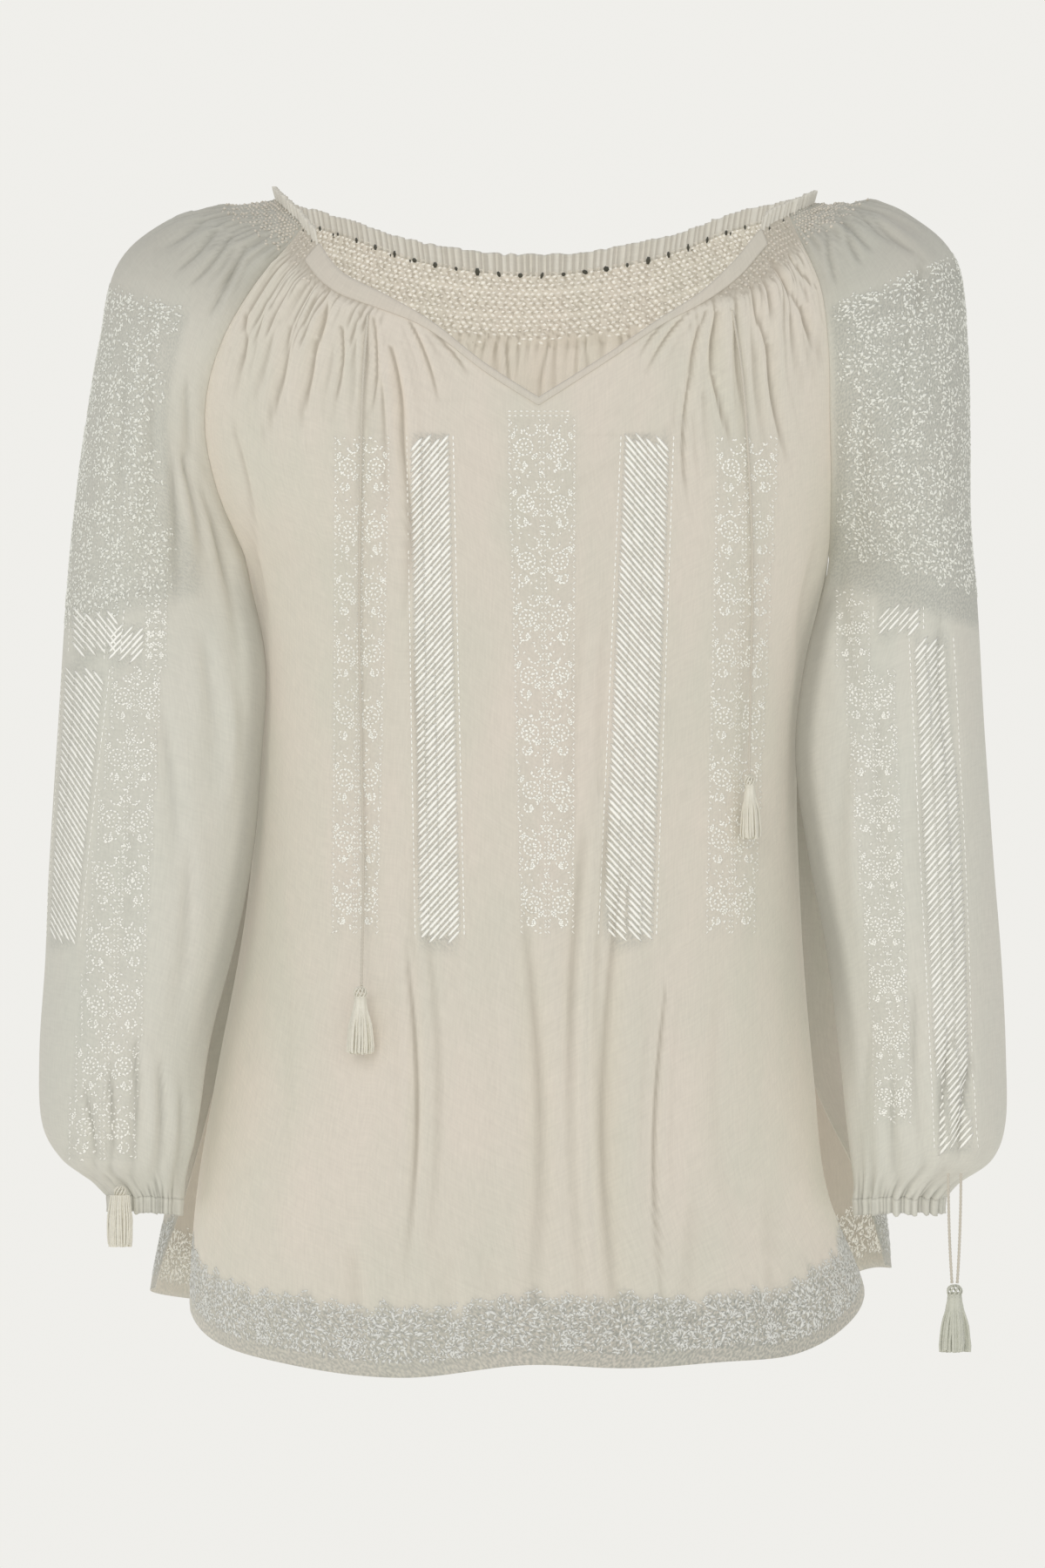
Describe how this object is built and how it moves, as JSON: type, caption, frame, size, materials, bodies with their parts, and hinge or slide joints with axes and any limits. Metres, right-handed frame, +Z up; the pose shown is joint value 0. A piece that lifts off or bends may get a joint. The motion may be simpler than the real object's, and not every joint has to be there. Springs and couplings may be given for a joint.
{
  "type": "peasant blouse",
  "caption": "Hollow worn form of an embroidered peasant blouse: raglan sleeves, smocked and gathered neck with a slit, open hem, neck and cuffs, and tasselled drawstring ends.",
  "frame": {"origin": "middle of the neck, level with the shoulders that carry the garment", "axes": "+Z up, +X towards the right-hand side of the garment as seen from its front, front of the garment faces -Y"},
  "size_m": [0.5532, 0.2447, 0.6808],
  "materials": {
    "body_cloth": "thin warm ecru crinkled cotton voile, matt",
    "sleeve_cloth": "thin ecru crinkled cotton voile, matt, with off-white silky embroidery",
    "trim_cloth": "pleated and plain ecru cotton strips, matt",
    "cord": "twisted ecru cotton cord and tassels, soft sheen"
  },
  "bodies": {
    "root": {"front_panel": "body_cloth", "back_panel": "body_cloth", "left_sleeve": "sleeve_cloth", "right_sleeve": "sleeve_cloth", "neck_heading": "trim_cloth", "neck_binding": "trim_cloth", "left_cuff": "sleeve_cloth", "right_cuff": "sleeve_cloth", "left_neck_cord": "cord", "left_neck_tassel": "cord", "right_neck_cord": "cord", "right_neck_tassel": "cord", "right_cuff_cord_a": "cord", "right_cuff_cord_b": "cord", "right_cuff_tassel": "cord", "left_cuff_tassel": "cord"}
  },
  "joints": []
}
